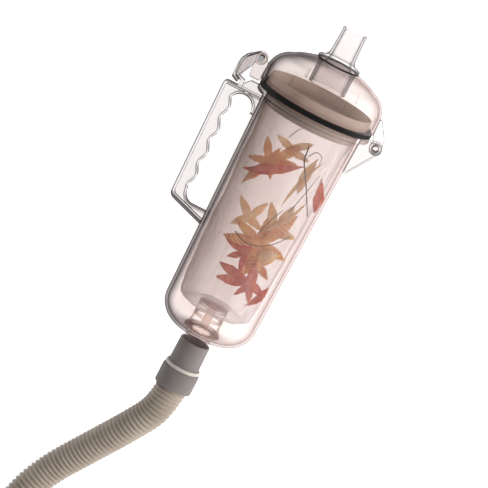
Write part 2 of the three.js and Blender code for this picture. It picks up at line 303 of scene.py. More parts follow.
def combined(piece, others, operation):
    """The piece with the others joined to it or cut from it; the others are used up."""
    for other in others:
        step = piece.modifiers.new(operation, "BOOLEAN")
        step.operation = operation
        step.solver = "EXACT"
        step.object = other
        whole = bpy.data.meshes.new_from_object(piece.evaluated_get(bpy.context.evaluated_depsgraph_get()))
        piece.modifiers.clear()
        piece.data = whole
        bpy.data.objects.remove(other)
    piece.data.shade_smooth()
    piece.data.set_sharp_from_angle(angle=math.radians(SMOOTH_BELOW))
    return piece


def together(piece, *others):
    """The others' meshes added to the piece's own, each still a shell of its own; the others are used up."""
    shape = bmesh.new()
    for part in (piece, *others):
        shape.from_mesh(part.data)
    shape.to_mesh(piece.data)
    shape.free()
    for other in others:
        bpy.data.objects.remove(other)
    return piece


def joined(piece, *others):
    return combined(piece, others, "UNION")


def cut(piece, *others):
    return combined(piece, others, "DIFFERENCE")


# ---------------------------------------------------------------- materials

def socket(nodes, kind, **values):
    """A new node with some of its inputs or settings given."""
    node = nodes.new(kind)
    for name, value in values.items():
        if hasattr(node, name):
            setattr(node, name, value)
        else:
            node.inputs[name.replace("_", " ")].default_value = value
    return node


def blank(name):
    """A material with its principled shader, nodes and links."""
    material = bpy.data.materials.new(name)
    material.use_nodes = True
    nodes, links = material.node_tree.nodes, material.node_tree.links
    return material, nodes, links, nodes["Principled BSDF"]


def mottled(nodes, links, scale, low, high):
    """A colour that wanders between two others over distances of about 1/scale metres."""
    where = nodes.new("ShaderNodeTexCoord")
    cloud = socket(nodes, "ShaderNodeTexNoise", Scale=scale, Detail=4.0, Roughness=0.6)
    links.new(where.outputs["Object"], cloud.inputs["Vector"])
    ramp = nodes.new("ShaderNodeValToRGB")
    ramp.color_ramp.elements[0].position = 0.32
    ramp.color_ramp.elements[0].color = (*low, 1)
    ramp.color_ramp.elements[1].position = 0.68
    ramp.color_ramp.elements[1].color = (*high, 1)
    links.new(cloud.outputs["Fac"], ramp.inputs["Fac"])
    return ramp.outputs["Color"]


def grained(nodes, links, target, scale, strength, distance):
    """A fine moulded grain on a shader's normal."""
    where = nodes.new("ShaderNodeTexCoord")
    grain = socket(nodes, "ShaderNodeTexNoise", Scale=scale, Detail=3.0)
    bump = socket(nodes, "ShaderNodeBump", Strength=strength, Distance=distance)
    links.new(where.outputs["Object"], grain.inputs["Vector"])
    links.new(grain.outputs["Fac"], bump.inputs["Height"])
    links.new(bump.outputs["Normal"], target.inputs["Normal"])


def lit_through(material, share):
    """A thin plastic's material with some of its light coming through it."""
    nodes, links = material.node_tree.nodes, material.node_tree.links
    skin = nodes["Principled BSDF"]
    glow = nodes.new("ShaderNodeBsdfTranslucent")
    links.new(skin.inputs["Base Color"].links[0].from_socket, glow.inputs["Color"])
    whole = mixed(nodes, links, share, skin.outputs["BSDF"], glow.outputs["BSDF"])
    links.new(whole, nodes["Material Output"].inputs["Surface"])
    return material


def worn_roughness(nodes, links, target, scale, low, high):
    """A roughness that wanders between two values."""
    where = nodes.new("ShaderNodeTexCoord")
    cloud = socket(nodes, "ShaderNodeTexNoise", Scale=scale, Detail=5.0)
    span = socket(nodes, "ShaderNodeMapRange", To_Min=low, To_Max=high)
    links.new(where.outputs["Object"], cloud.inputs["Vector"])
    links.new(cloud.outputs["Fac"], span.inputs["Value"])
    links.new(span.outputs["Result"], target.inputs["Roughness"])


def power(nodes, links, source, exponent):
    node = socket(nodes, "ShaderNodeMath", operation="POWER")
    node.inputs[1].default_value = exponent
    links.new(source, node.inputs[0])
    return node.outputs["Value"]


def spread(nodes, links, source, low, high):
    """A value from 0 to 1 taken to the range from low to high."""
    node = socket(nodes, "ShaderNodeMapRange", To_Min=low, To_Max=high)
    links.new(source, node.inputs["Value"])
    return node.outputs["Result"]


def mixed(nodes, links, share, first, second):
    """Two shaders mixed by a socket or a number."""
    node = nodes.new("ShaderNodeMixShader")
    if isinstance(share, float):
        node.inputs["Fac"].default_value = share
    else:
        links.new(share, node.inputs["Fac"])
    links.new(first, node.inputs[1])
    links.new(second, node.inputs[2])
    return node.outputs["Shader"]


def handle_side_shade(nodes, links, start, end):
    """A mask for painted shade: 1 on the handle's side of the part, away from the key light, to 0 on the
    hinge's side.
    """
    place = nodes.new("ShaderNodeSeparateXYZ")
    links.new(nodes.new("ShaderNodeTexCoord").outputs["Object"], place.inputs["Vector"])
    side = socket(nodes, "ShaderNodeMapRange", From_Min=start, From_Max=end, To_Min=1.0, To_Max=0.0)
    side.interpolation_type = "SMOOTHSTEP"
    links.new(place.outputs["X"], side.inputs["Value"])
    return side.outputs["Result"]


def blended(nodes, links, share, first, second):
    """Two colours, each given or from a socket, mixed by a socket."""
    node = nodes.new("ShaderNodeMix")
    node.data_type = "RGBA"
    links.new(share, node.inputs["Factor"])
    for name, colour in (("A", first), ("B", second)):
        if isinstance(colour, tuple):
            node.inputs[name].default_value = (*colour, 1)
        else:
            links.new(colour, node.inputs[name])
    return node.outputs["Result"]


def clear_plastic(name, tint, pale_rim, dark_rim, solid, start, steep, haze, edge):
    """Clear plastic, deeper in colour where its wall is seen along itself, partly as painted shade for the
    dark refraction at its edges, and darker towards the handle as painted shade.

    tint is its colour face on, and the rims are its colours at the edge on the hinge's side and the handle's,
    pale and dark as painted light and shade.
    solid is its body's colour there on the handle's side, fading to pale towards the hinge as painted shade.
    Both start at start, grow with the power steep, and reach haze to edge.
    """
    material, nodes, links, skin = blank(name)
    # Painted shade: body and rims darken towards the handle, away from the key light on the hinge's side.
    side = handle_side_shade(nodes, links, *PAINTED_SHADE_SPAN)
    cloud = mottled(nodes, links, 9.0, solid, tuple(min(1, c * 1.12) for c in solid))
    colour = blended(nodes, links, side, (0.85, 0.82, 0.81), cloud)
    links.new(colour, skin.inputs["Base Color"])
    skin.inputs["IOR"].default_value = 1.49
    worn_roughness(nodes, links, skin, 40.0, 0.08, 0.2)
    grained(nodes, links, skin, 26.0, 0.12, 0.0006)
    # Deeper in colour at grazing angles: partly the wall's own colour seen along it, partly painted shade for
    # the dark refraction at the edges.
    facing = socket(nodes, "ShaderNodeLayerWeight", Blend=0.5).outputs["Facing"]
    grazing = socket(nodes, "ShaderNodeMapRange", From_Min=start, From_Max=0.92)
    links.new(facing, grazing.inputs["Value"])
    turned_away = power(nodes, links, grazing.outputs["Result"], steep)
    # Rim colour by side: pale on the hinge's side, dark on the handle's, as painted light and shade.
    rim = blended(nodes, links, side, pale_rim, dark_rim)
    through = nodes.new("ShaderNodeBsdfTransparent")
    links.new(blended(nodes, links, turned_away, tint, rim), through.inputs["Color"])
    amount = spread(nodes, links, turned_away, haze, edge)
    body = mixed(nodes, links, amount, through.outputs["BSDF"], skin.outputs["BSDF"])
    shine = socket(nodes, "ShaderNodeBsdfGlossy", Color=(1, 1, 1, 1), Roughness=0.07)
    gloss = spread(nodes, links, power(nodes, links, facing, 5.0), 0.012, 0.12)
    whole = mixed(nodes, links, gloss, body, shine.outputs["BSDF"])
    links.new(whole, nodes["Material Output"].inputs["Surface"])
    return material


def moulded(name, low, high, roughness, grain=900.0, bump=0.25):
    """Opaque moulded plastic or rubber with a little mottling, wear and grain."""
    material, nodes, links, skin = blank(name)
    colour = mottled(nodes, links, 28.0, low, high)
    links.new(colour, skin.inputs["Base Color"])
    worn_roughness(nodes, links, skin, 60.0, roughness - 0.08, roughness + 0.08)
    grained(nodes, links, skin, grain, bump, 0.0002)
    return material


def steel():
    material, nodes, links, skin = blank("stainless_steel")
    colour = mottled(nodes, links, 80.0, (0.45, 0.44, 0.43), (0.62, 0.61, 0.6))
    links.new(colour, skin.inputs["Base Color"])
    skin.inputs["Metallic"].default_value = 1.0
    worn_roughness(nodes, links, skin, 400.0, 0.22, 0.4)
    return material


def woven_bag():
    """Fine mesh cloth: threads both ways, part of the light going through the holes between them."""
    material, nodes, links, skin = blank("bag_mesh")
    where = nodes.new("ShaderNodeUVMap")
    threads = []
    for direction in ("X", "Y"):
        weave = socket(nodes, "ShaderNodeTexWave", Scale=1.0, Distortion=0.3)
        weave.bands_direction = direction
        links.new(where.outputs["UV"], weave.inputs["Vector"])
        threads.append(weave.outputs["Fac"])
    thread = socket(nodes, "ShaderNodeMath", operation="MAXIMUM")
    links.new(threads[0], thread.inputs[0])
    links.new(threads[1], thread.inputs[1])
    cloud = mottled(nodes, links, 14.0, BAG_LOW, BAG_HIGH)
    # Painted shade: the bag turns darker towards the handle, away from the key light.
    side = handle_side_shade(nodes, links, *BAG_SHADE_SPAN)
    colour = blended(nodes, links, side, cloud, BAG_PAINTED_SHADE)
    links.new(colour, skin.inputs["Base Color"])
    skin.inputs["Roughness"].default_value = 0.85
    skin.inputs["Sheen Weight"].default_value = 0.35
    bump = socket(nodes, "ShaderNodeBump", Strength=0.3, Distance=0.0003)
    links.new(thread.outputs["Value"], bump.inputs["Height"])
    links.new(bump.outputs["Normal"], skin.inputs["Normal"])
    glow = nodes.new("ShaderNodeBsdfTranslucent")
    links.new(colour, glow.inputs["Color"])
    cloth = mixed(nodes, links, 0.5, skin.outputs["BSDF"], glow.outputs["BSDF"])
    facing = socket(nodes, "ShaderNodeLayerWeight", Blend=0.5).outputs["Facing"]
    slant = spread(nodes, links, power(nodes, links, facing, 1.7), 0.0, 0.42)
    cover = socket(nodes, "ShaderNodeMath", operation="ADD", use_clamp=True)
    links.new(spread(nodes, links, thread.outputs["Value"], *BAG_COVER), cover.inputs[0])
    # Painted shade: the bag is also made denser towards the handle, on top of its cover at grazing angles.
    shaded_cover = socket(nodes, "ShaderNodeMath", operation="MULTIPLY_ADD")
    shaded_cover.inputs[1].default_value = 0.34
    links.new(side, shaded_cover.inputs[0])
    links.new(slant, shaded_cover.inputs[2])
    links.new(shaded_cover.outputs["Value"], cover.inputs[1])
    hole = socket(nodes, "ShaderNodeBsdfTransparent", Color=(1, 1, 1, 1))
    whole = mixed(nodes, links, cover.outputs["Value"], hole.outputs["BSDF"], cloth)
    links.new(whole, nodes["Material Output"].inputs["Surface"])
    return material


def dry_leaf(name, low, high):
    """A dry leaf: blotched colour, a lit-through side, and veins from the leaf's own coordinates."""
    material, nodes, links, skin = blank(name)
    colour = mottled(nodes, links, 70.0, low, high)
    where = nodes.new("ShaderNodeUVMap")
    veins = socket(nodes, "ShaderNodeTexWave", Scale=1.6, Distortion=1.5)
    veins.bands_direction = "DIAGONAL"
    links.new(where.outputs["UV"], veins.inputs["Vector"])
    shade = nodes.new("ShaderNodeMix")
    shade.data_type = "RGBA"
    shade.blend_type = "MULTIPLY"
    shade.inputs["Factor"].default_value = 0.25
    links.new(colour, shade.inputs["A"])
    links.new(veins.outputs["Color"], shade.inputs["B"])
    links.new(shade.outputs["Result"], skin.inputs["Base Color"])
    skin.inputs["Roughness"].default_value = 0.7
    bump = socket(nodes, "ShaderNodeBump", Strength=0.4, Distance=0.0006)
    links.new(veins.outputs["Fac"], bump.inputs["Height"])
    links.new(bump.outputs["Normal"], skin.inputs["Normal"])
    glow = nodes.new("ShaderNodeBsdfTranslucent")
    links.new(shade.outputs["Result"], glow.inputs["Color"])
    whole = mixed(nodes, links, 0.55, skin.outputs["BSDF"], glow.outputs["BSDF"])
    links.new(whole, nodes["Material Output"].inputs["Surface"])
    return material


BAG_LOW, BAG_HIGH = (0.5, 0.44, 0.43), (0.62, 0.56, 0.56)
BAG_COVER = (0.1, 0.26)
# Painted shade: over this span of X, in metres, the bag darkens to this colour and grows denser towards the
# handle.
BAG_SHADE_SPAN = (-0.06, -0.004)
BAG_PAINTED_SHADE = (0.25, 0.185, 0.155)

# Painted shade: over this span of X, in metres, the clear plastics darken from the hinge's side to the
# handle's.
PAINTED_SHADE_SPAN = (-0.045, 0.06)
# Rim colours for the handle's side and the hinge's side, and the body colour on the handle's side: painted
# light and shade.
SHADED_RIM, LIT_RIM = (0.03, 0.008, 0.005), (0.6, 0.5, 0.48)
SHADED_BODY = (0.2, 0.11, 0.085)
SHELL = clear_plastic("clear_plastic", (0.955, 0.93, 0.92), LIT_RIM, SHADED_RIM,
                      SHADED_BODY, 0.35, 1.9, 0.012, 0.1)
# The thick parts' near-black rims are mostly painted shade for the dark refraction at their edges.
THICK = clear_plastic("clear_plastic_thick", (0.97, 0.955, 0.95), (0.01, 0.008, 0.008), (0.01, 0.006, 0.005),
                      SHADED_BODY, 0.0, 0.75, 0.01, 0.08)
PIPE = clear_plastic("clear_plastic_pipe", (0.925, 0.915, 0.912), (0.1, 0.075, 0.07), (0.03, 0.015, 0.012),
                     SHADED_BODY, 0.25, 1.7, 0.012, 0.1)
THIN = clear_plastic("clear_plastic_thin", (0.93, 0.885, 0.865), (0.3, 0.16, 0.13), (0.25, 0.12, 0.09),
                     SHADED_BODY, 0.1, 1.9, 0.015, 0.1)
TAUPE = lit_through(moulded("taupe_plastic", (0.56, 0.465, 0.4), (0.66, 0.56, 0.49), 0.65), 0.5)
RUBBER = moulded("seal_rubber", (0.003, 0.003, 0.003), (0.008, 0.007, 0.007), 0.6, 1200.0, 0.15)
RUBBER.node_tree.nodes["Principled BSDF"].inputs["Specular IOR Level"].default_value = 0.15
PALE = moulded("pale_plastic", (0.46, 0.425, 0.37), (0.54, 0.5, 0.44), 0.5)
# The clamp band is coloured darker than the pale cuff rings to stand for the shade under the lip and O-ring:
# painted shade.
BAND = moulded("bag_band", (0.3, 0.25, 0.21), (0.38, 0.33, 0.29), 0.6)
CUFF = lit_through(moulded("cuff_plastic", (0.3, 0.265, 0.245), (0.36, 0.32, 0.3), 0.55, 700.0, 0.2), 0.45)
HOSE = moulded("hose_plastic", (0.29, 0.235, 0.185), (0.37, 0.31, 0.25), 0.5, 600.0, 0.2)
STEEL = steel()
CLOTH = woven_bag()
ORANGE = dry_leaf("leaf_orange", (0.88, 0.4, 0.16), (1.0, 0.74, 0.42))
RED = dry_leaf("leaf_red", (0.72, 0.17, 0.12), (0.95, 0.48, 0.34))
TAN = dry_leaf("leaf_tan", (0.93, 0.62, 0.32), (1.0, 0.86, 0.64))
BARK = moulded("twig_bark", (0.02, 0.014, 0.012), (0.045, 0.032, 0.026), 0.75, 500.0, 0.6)


def placed(piece, body, slot, material, *replaced):
    """Gives a piece its finish and its body, and hides the CAD nodes that it stands for."""
    piece.data.materials.clear()
    piece.data.materials.append(material)
    if material in (SHELL, THICK, PIPE, THIN):
        piece.modifiers.new("even_shading", "WEIGHTED_NORMAL").keep_sharp = True
    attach(piece, body)
    if replaced:
        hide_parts(*replaced)
    return piece


# ---------------------------------------------------------------- camera and light

CAMERA_DISTANCE = 3.5
CAMERA_ELEVATION = 80.6
CAMERA_AZIMUTH = 183.17
CAMERA_ROLL = 27.27
CAMERA_LENS = 171.4
CAMERA_TARGET = (0.0096, -0.0775, 0.080)


def camera():
    data = bpy.data.cameras.new("camera")
    data.lens = CAMERA_LENS
    data.sensor_width = 36
    data.clip_end = 50
    seat = bpy.data.objects.new("camera", data)
    elevation, azimuth = math.radians(CAMERA_ELEVATION), math.radians(CAMERA_AZIMUTH)
    back = Vector((
        math.cos(elevation) * math.sin(azimuth),
        -math.cos(elevation) * math.cos(azimuth),
        math.sin(elevation),
    ))
    right = Vector((0, 1, 0)).cross(back).normalized()
    up = back.cross(right)
    roll = Matrix.Rotation(math.radians(CAMERA_ROLL), 3, back)
    turn = Matrix((roll @ right, roll @ up, back)).transposed()
    seat.matrix_world = Matrix.Translation(Vector(CAMERA_TARGET) + back * CAMERA_DISTANCE) @ turn.to_4x4()
    bpy.context.scene.collection.objects.link(seat)
    bpy.context.scene.camera = seat


def softbox(name, place, target, size, watts):
    data = bpy.data.lights.new(name, "AREA")
    data.shape = "RECTANGLE"
    data.size, data.size_y = size
    data.energy = watts
    lamp = bpy.data.objects.new(name, data)
    lamp.location = place
    lamp.visible_glossy = False
    lamp.rotation_euler = (Vector(target) - Vector(place)).to_track_quat("-Z", "Y").to_euler()
    bpy.context.scene.collection.objects.link(lamp)


def studio():
    scene = bpy.context.scene
    scene.view_settings.view_transform = "Standard"
    scene.cycles.transparent_max_bounces = 48
    world = bpy.data.worlds.new("studio")
    world.use_nodes = True
    nodes, links = world.node_tree.nodes, world.node_tree.links
    heading = nodes.new("ShaderNodeSeparateXYZ")
    links.new(nodes.new("ShaderNodeTexCoord").outputs["Generated"], heading.inputs["Vector"])
    room = socket(nodes, "ShaderNodeMapRange", From_Min=-0.9, From_Max=0.9, To_Min=0.45, To_Max=1.0)
    links.new(heading.outputs["X"], room.inputs["Value"])
    links.new(room.outputs["Result"], nodes["Background"].inputs["Strength"])
    nodes["Background"].inputs["Color"].default_value = (0.95, 0.96, 1, 1)
    scene.world = world
    softbox("key_light", (2.3, 0.1, 1.15), (0, 0, 0.05), (1.3, 1.3), 55)
    bpy.ops.mesh.primitive_plane_add(size=14, location=(0, 0, 0))
    floor = bpy.context.object
    floor.name = "floor"
    material, _, _, skin = blank("floor_paper")
    skin.inputs["Base Color"].default_value = (0.9, 0.9, 0.9, 1)
    skin.inputs["Roughness"].default_value = 0.9
    skin.inputs["Emission Color"].default_value = (1, 1, 1, 1)
    skin.inputs["Emission Strength"].default_value = 0.62
    floor.data.materials.append(material)


# ---------------------------------------------------------------- canister

def canister_body():
    floor_edge = FOOT_RADIUS - CORNER_RADIUS
    shell = turned("clear_body", [
        (OUTLET_BORE, -OUTLET_LENGTH),
        (OUTLET_RADIUS, -OUTLET_LENGTH),
        (OUTLET_RADIUS + 1, -4),
        *arc(OUTLET_RADIUS + 5, -4, 4, 180, 90, 6),
        *arc(floor_edge, CORNER_RADIUS, CORNER_RADIUS, -90, 0, 18),
        (TOP_RADIUS, LIP_UNDER),
        (LIP_RADIUS, LIP_EDGE),
        (LIP_RADIUS, LIP_TOP),
        (MOUTH_RADIUS, LIP_TOP),
        (MOUTH_RADIUS - 0.3, LIP_UNDER),
        *arc(floor_edge, CORNER_RADIUS, CORNER_RADIUS - BODY_WALL, 0, -90, 18),
        (OUTLET_BORE, BODY_WALL),
    ])
    return placed(shell, "canister", "clear_plastic", SHELL, "canister_body")


def hinge_ears():
    x, z = HINGE_AT
    ear = [(80.2, 378), (x, z + HINGE_BOSS), *arc(x, z, HINGE_BOSS, 75, -45, 14), (84, 322), (78.6, 322)]
    bores = [rod("ear_bore", HINGE_PIN + 0.3, 20, HINGE_AT) for _ in range(2)]
    near = cut(plate("hinge_ears", ear, -EAR_OUTSIDE, -EAR_INSIDE, 1.8), bores[0])
    far = cut(plate("far_ear", ear, EAR_INSIDE, EAR_OUTSIDE, 1.8), bores[1])
    return placed(together(near, far), "canister", "clear_plastic", THICK, "canister_body")


def body_keep_out():
    """A cutter in the body's outer shape, with a little clearance."""
    grow = 0.25
    floor_edge = FOOT_RADIUS - CORNER_RADIUS
    return turned("keep_out", [
        (20, -grow),
        *arc(floor_edge, CORNER_RADIUS, CORNER_RADIUS + grow, -90, 0, 10),
        (TOP_RADIUS + grow, LIP_UNDER),
        (LIP_RADIUS + grow, LIP_EDGE),
        (LIP_RADIUS + grow, LIP_TOP + grow),
        (20, LIP_TOP + grow),
    ], cut=0)


def handle():
    slope = math.radians(18)
    in_body, arm_top = 60, 366
    heel_x, heel_z, heel_radius = 125.2, 181, 12

    def outer(inset):
        return [
            (in_body, arm_top - inset),
            *arc(TOP_RADIUS + 54, arm_top - 6, 6 - inset, 90, 0, 8),
            *arc(heel_x, heel_z, heel_radius - inset, 0, -72, 10),
            (in_body, heel_z - heel_radius / math.cos(slope) - (heel_x - in_body) * math.tan(slope)
             + inset / math.cos(slope)),
        ]

    def grip(grow):
        points = []
        for step in range(0, 73):
            z = 339 - step * 2
            wave = math.cos(2 * math.pi * (z - GRIP_CREST) / GRIP_PITCH)
            points.append((body_radius(z) + GRIP_MIDDLE - GRIP_WAVE * wave + grow, z))
        return points

    def opening(grow):
        return [
            (in_body, 331 + grow),
            *arc(102.5, 340, 18 + grow, 190, 14, 22),
            *grip(grow),
            *arc(99, 190, 17.5 + grow, 0, -90, 10),
            (in_body, 173 - grow),
        ]

    x, z = LATCH_AT
    hook = [
        *arc(x, z, 45.2, -63.5, -73, 6),
        (119.2, 364),
        (112.5, 364),
        *arc(x, z, 41.2, -80, -63.5, 6),
    ]
    seat = [(in_body, 364), (112.5, 364), (112.5, 372), (104, 381), (in_body, 381)]
    reach = RAIL_HALF + 1
    web = plate("web", outer(0.8), -WEB_HALF, WEB_HALF, 0, 180)
    rail = cut(plate("rail", outer(0), -RAIL_HALF, RAIL_HALF, 2.1, 180),
               plate("rail_inside", outer(4.5), -reach, reach, 0, 180))
    rim = cut(plate("rim", opening(3.6), -RIM_HALF, RIM_HALF, 1.6, 180),
              plate("rim_inside", opening(0), -reach, reach, 0, 180))
    web = cut(web, plate("web_hole", opening(0.8), -reach, reach, 0, 180))
    whole = joined(web, rail, rim, plate("hook", hook, -LUG_HALF, LUG_HALF, 0.5, 180),
                   plate("seat", seat, -LUG_HALF, LUG_HALF, 0.8, 180))
    whole.name = "grip_handle"
    return placed(cut(whole, body_keep_out()), "canister", "clear_plastic", THICK, "handle")


def dome_lid():
    x, z, radius = SHOULDER
    under = radius - LID_WALL
    shell = turned("lid_dome", [
        (LID_FLANGE_BORE, LID_UNDER),
        (LID_RADIUS, LID_UNDER),
        (LID_RADIUS, LID_FLANGE_TOP),
        *arc(x, z, radius, 0, SHOULDER_SWEEP, 18),
        (61, 450.4),
        (52, 453.9),
        (43, 456.9),
        (CROWN_RIM, CROWN_HEIGHT),
        (CROWN_HOLE, CROWN_HEIGHT),
        (CROWN_HOLE, CROWN_HEIGHT - LID_WALL),
        (42, 453.4),
        (51, 450.4),
        (60, 446.9),
        *arc(x, z, under, SHOULDER_SWEEP, 0, 18),
        (x + under, LID_FLANGE_TOP),
        (LID_FLANGE_BORE, LID_FLANGE_TOP),
    ])
    rib = [(84.5, 411.5), (91.3, 411.5), (91.3, 417), (87.5, 428), (84.5, 431.5)]
    ribs = [plate(f"rib_{i}", rib, -1.5, 1.5, 0.4, -66 + 60 * i) for i in range(6)]
    return placed(joined(shell, *ribs), "lid", "clear_plastic", SHELL, "dome_lid")


def lid_lugs():
    x, z = HINGE_AT
    outline = [(92, 417), (92.3, 394), (97, 386), *arc(x, z, HINGE_BOSS, 150, 380, 22), (112, 393), (96, 417)]
    bore = rod("lug_bore", HINGE_PIN + 0.3, 20, HINGE_AT)
    lug = cut(plate("lid_hinge_lug", outline, -LUG_HALF, LUG_HALF, 1.8), bore)
    placed(lug, "lid", "clear_plastic", THICK, "dome_lid")
    x, z = LATCH_AT
    outline = [(91.5, 393.5), (95, 386), (110, 386), (112.5, 402), *arc(x, z, 7.5, 0, 140, 14), (91.5, 413)]
    bore = rod("lug_bore", LATCH_PIN + 0.3, 20, LATCH_AT, 180)
    lug = cut(plate("lid_latch_lug", outline, -LUG_HALF, LUG_HALF, 1.8, 180), bore)
    placed(lug, "lid", "clear_plastic", THIN, "dome_lid")


def inlet_spigot():
    piece = turned("inlet_pipe", [
        (INLET_BORE + 0.4, INLET_TIP),
        (INLET_BORE - 0.4, INLET_TIP - 3),
        (INLET_BORE + 0.8, 470),
        (21, 461),
        (COLLAR_BORE, 456),
        (COLLAR_BORE, COLLAR_FOOT),
        (COLLAR_RADIUS - 0.6, COLLAR_FOOT),
        (COLLAR_RADIUS, COLLAR_FLANGE),
        (CROWN_RIM, COLLAR_FLANGE),
        (CROWN_RIM, COLLAR_FLANGE + 2.6),
        *arc(CROWN_RIM - 1, 478, 12.5, 270, 180, 12),
        (INLET_RADIUS, INLET_TIP - 4),
        (INLET_RADIUS + 0.6, INLET_TIP - 3),
        (INLET_RADIUS + 0.6, INLET_TIP),
    ])
    return placed(piece, "lid", "clear_plastic", PIPE, "inlet_spigot")


def latch_lever():
    x, z = LATCH_AT
    corner_x, corner_z = 133, 402
    cheek = [
        *arc(x, z, LATCH_BOSS, 62, 300, 24),
        (114, 400),
        (124, 381),
        (131, 380),
        (corner_x - 0.6, corner_z),
        (127.5, 412),
    ]
    back = [
        *arc(x, z, LATCH_BOSS, 62, 50, 2),
        (128, 413.5),
        (corner_x, corner_z + 2.5),
        (corner_x + 0.6, corner_z - 3),
        *arc(x, z, 50.5, -57, -70.5, 6),
        *arc(x, z, 45.7, -70.5, -60, 6),
        (129, corner_z - 2.5),
        (125.5, 410),
        (x + 6.5, z + 5.4),
    ]
    pocket = plate("pocket", arc(x, z, 8.2, 0, 360, 40)[1:], -CHEEK_INSIDE, CHEEK_INSIDE, 0, 180)
    half = CHEEK_OUTSIDE + 0.4
    back = cut(plate("latch_clip", eased(back, 2), -half, half, 1.2, 180), pocket)
    cheeks = []
    for low in (CHEEK_INSIDE + 0.05, -CHEEK_OUTSIDE):
        bore = rod("cheek_bore", LATCH_PIN + 0.3, 20, LATCH_AT, 180)
        cheeks.append(cut(plate("cheek", cheek, low, low + 3.85, 1.2, 180), bore))
    piece = together(back, *cheeks)
    return placed(piece, "latch", "clear_plastic", THICK, "latch_lever")


def pins():
    """The hinge's and the latch's headed pins, with their push-on caps."""
    for name, radius, reach, at, turn, body, slot, material in (
        ("hinge_pin", HINGE_PIN, EAR_OUTSIDE, HINGE_AT, 0, "canister", "clear_plastic", THIN),
        ("latch_pin", LATCH_PIN, CHEEK_OUTSIDE, LATCH_AT, 180, "lid", "stainless_steel", STEEL),
    ):
        head = radius * 1.5
        pin = bar(f"{name}_shaft", [
            (0.01, -reach - 3.5),
            (radius, -reach - 3.5),
            (radius, reach + 0.4),
            (head, reach + 0.6),
            (head, reach + 3),
            (0.01, reach + 3),
        ], at, turn)
        placed(pin, body, slot, material, name)
        cap = bar(f"{name}_nut", [
            (radius + 0.2, -reach - 0.6),
            (head, -reach - 0.6),
            (head, -reach - 2.2),
            (radius + 1, -reach - 3),
            (radius + 0.2, -reach - 3),
        ], at, turn)
        placed(cap, body, "stainless_steel", STEEL, f"{name}_cap")


def seals():
    low, high = LIP_TOP + 0.3, LID_UNDER - 0.3
    seal = turned("lid_o_ring", [(84.4, low), (92.1, low), (92.1, high), (84.4, high)], 192, 2.6)
    placed(seal, "canister", "seal_rubber", RUBBER, "lid_seal")
    foot, top = CROWN_HEIGHT + 0.1, COLLAR_FLANGE - 0.1
    gasket = turned("spigot_gasket", [(30.6, foot), (33.9, foot), (33.9, top), (30.6, top)], 144, 0.5)
    placed(gasket, "lid", "seal_rubber", RUBBER, "spigot_seal")


def bag_ring():
    ring = turned("bag_collar", [
        (RING_SKIRT - 2.5, RING_SKIRT_FOOT),
        (RING_SKIRT, RING_SKIRT_FOOT),
        (RING_SKIRT, LIP_TOP + 0.3),
        (RING_RADIUS, LIP_TOP + 0.3),
        (RING_RADIUS, RING_TOP),
        (RING_RADIUS - 3, RING_TOP),
        (RING_RADIUS - 3, LIP_TOP + 3.5),
        (RING_SKIRT - 2.5, LIP_TOP + 3.5),
    ])
    placed(ring, "canister", "taupe_plastic", TAUPE, "bag_ring")
    # Painted shade: the clamp band's dark colour stands for the shade under the lip and O-ring.
    low, high, inner = 368, 378, BAG_RADIUS + 0.3
    band_outline = [(inner, low), (BAND_RADIUS, low), (BAND_RADIUS, high), (inner, high)]
    band = turned("bag_clamp", band_outline, 144, 0.5)
    placed(band, "canister", "pale_plastic", BAND, "bag_band")


def outlet_cage():
    foot = BODY_WALL + 0.1
    shell = turned("cage", [
        (17, foot), (29, foot), (29, foot + 3), (23.5, foot + 3.5), (23.5, 50), (6, 50),
        (6, 47), (20.5, 47), (20.5, foot + 3), (17, foot + 3),
    ], 96, 0.8)
    windows = []
    for turn in (45, 135):
        for low, high in ((11, 26.5), (30.5, 44)):
            frame_outline = eased([(-11.5, low), (11.5, low), (11.5, high), (-11.5, high)], 3, 5)
            windows.append(plate("window", frame_outline, -40, 40, 0, turn + 90))
    gusset = [(22, 7), (28.5, 7), (24, 17), (22, 17)]
    gussets = [plate(f"gusset_{i}", gusset, -1.5, 1.5, 0.4, 90 * i) for i in range(4)]
    piece = joined(cut(shell, *windows), *gussets)
    piece.name = "cage_guard"
    return placed(piece, "canister", "clear_plastic", THIN, "outlet_cage")


# ---------------------------------------------------------------- bag, leaves and twigs

def bag_side(share):
    """Radius and height of the bag's outside at a share of the way up, from the middle of its floor."""
    stops = [
        (0.0, 3, 55), (0.05, 26, 54.5), (0.09, 40, 47), (0.13, 52, 44.5), (0.17, 60, 50),
        (0.24, 64, 78), (0.9, 71.5, 344), (0.96, 73.2, 364), (1.0, 73.2, BAG_TOP),
    ]
    for (s0, r0, z0), (s1, r1, z1) in zip(stops, stops[1:]):
        if share <= s1:
            t = (share - s0) / (s1 - s0)
            return r0 + t * (r1 - r0), z0 + t * (z1 - z0)
    return stops[-1][1:]


